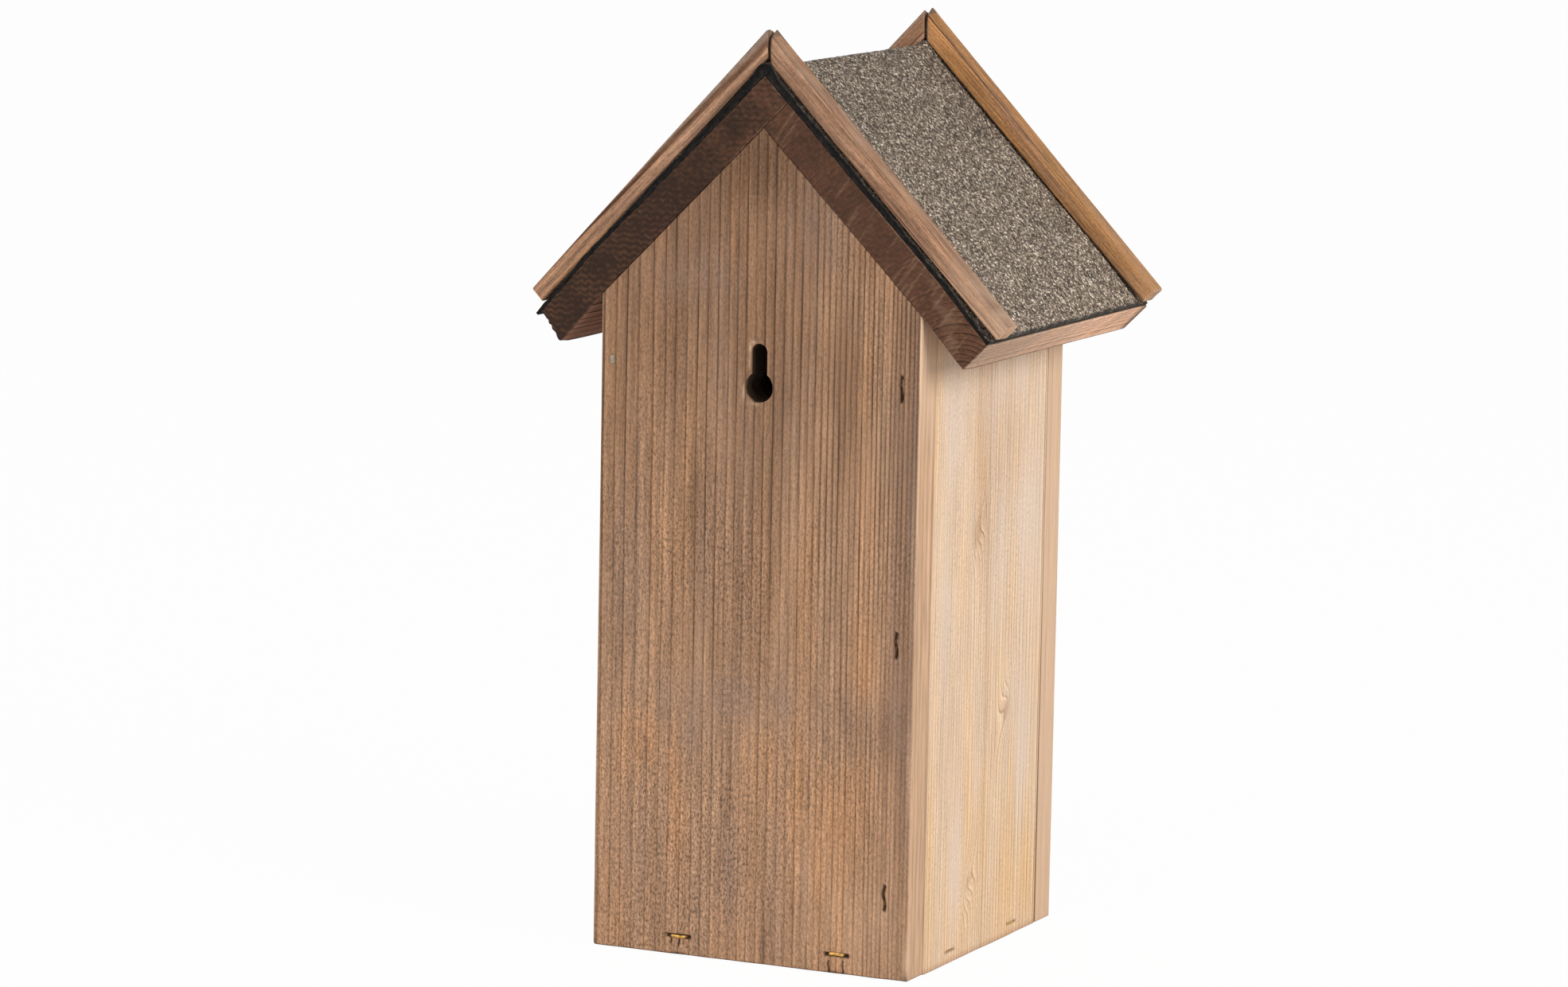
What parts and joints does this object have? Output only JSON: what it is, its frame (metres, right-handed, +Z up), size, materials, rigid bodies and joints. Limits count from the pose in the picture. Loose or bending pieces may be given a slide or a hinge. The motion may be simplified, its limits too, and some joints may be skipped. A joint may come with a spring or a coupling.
{
  "type": "bird nest box",
  "caption": "Tall wooden nest box with a felted saddle roof, a round entrance in front, a keyhole hanger in the back and a side wall that swings out for cleaning.",
  "frame": {"origin": "middle of the box's outline on the plane that it stands on", "axes": "+Z up, +Y out of the back panel towards the wall, entrance facing -Y, cleaning door at +X"},
  "size_m": [0.2068, 0.16, 0.3634],
  "materials": {
    "gable_wood": "brushed and browned softwood",
    "side_wood": "plain planed softwood",
    "roof_wood": "sawn softwood",
    "batten_wood": "brushed softwood",
    "felt": "bitumen felt with mineral granules",
    "staple_steel": "coated wire, rusting",
    "nail_steel": "bright wire",
    "hook_brass": "brass plated"
  },
  "bodies": {
    "box": {"back_panel": "gable_wood", "front_panel": "gable_wood", "left_wall": "side_wood", "floor_panel": "side_wood", "right_roof_board": "roof_wood", "left_roof_board": "roof_wood", "roof_felt": "felt", "back_right_batten": "batten_wood", "back_left_batten": "batten_wood", "front_right_batten": "batten_wood", "front_left_batten": "batten_wood", "back_edge_staples": "staple_steel", "back_floor_staples": "staple_steel", "front_edge_staples": "staple_steel", "front_floor_staples": "staple_steel", "wall_floor_staples": "staple_steel", "back_pivot_nail": "nail_steel", "front_pivot_nail": "nail_steel", "right_roof_staples": "staple_steel", "left_roof_staples": "staple_steel", "ridge_staples": "staple_steel", "batten_brads": "nail_steel"},
    "door": {"side_door": "side_wood"},
    "hook": {"catch_hook": "hook_brass"}
  },
  "joints": [
    {"name": "door_swing", "type": "hinge", "parent": "box", "child": "door", "pos_m": [0.063, 0.01, 0.2325], "axis": [0, -1, 0], "range_deg": [0, 85]},
    {"name": "hook_turn", "type": "hinge", "parent": "box", "child": "hook", "pos_m": [0.068, -0.0525, 0.04], "axis": [1, 0, 0], "range_deg": [0, 90]}
  ]
}
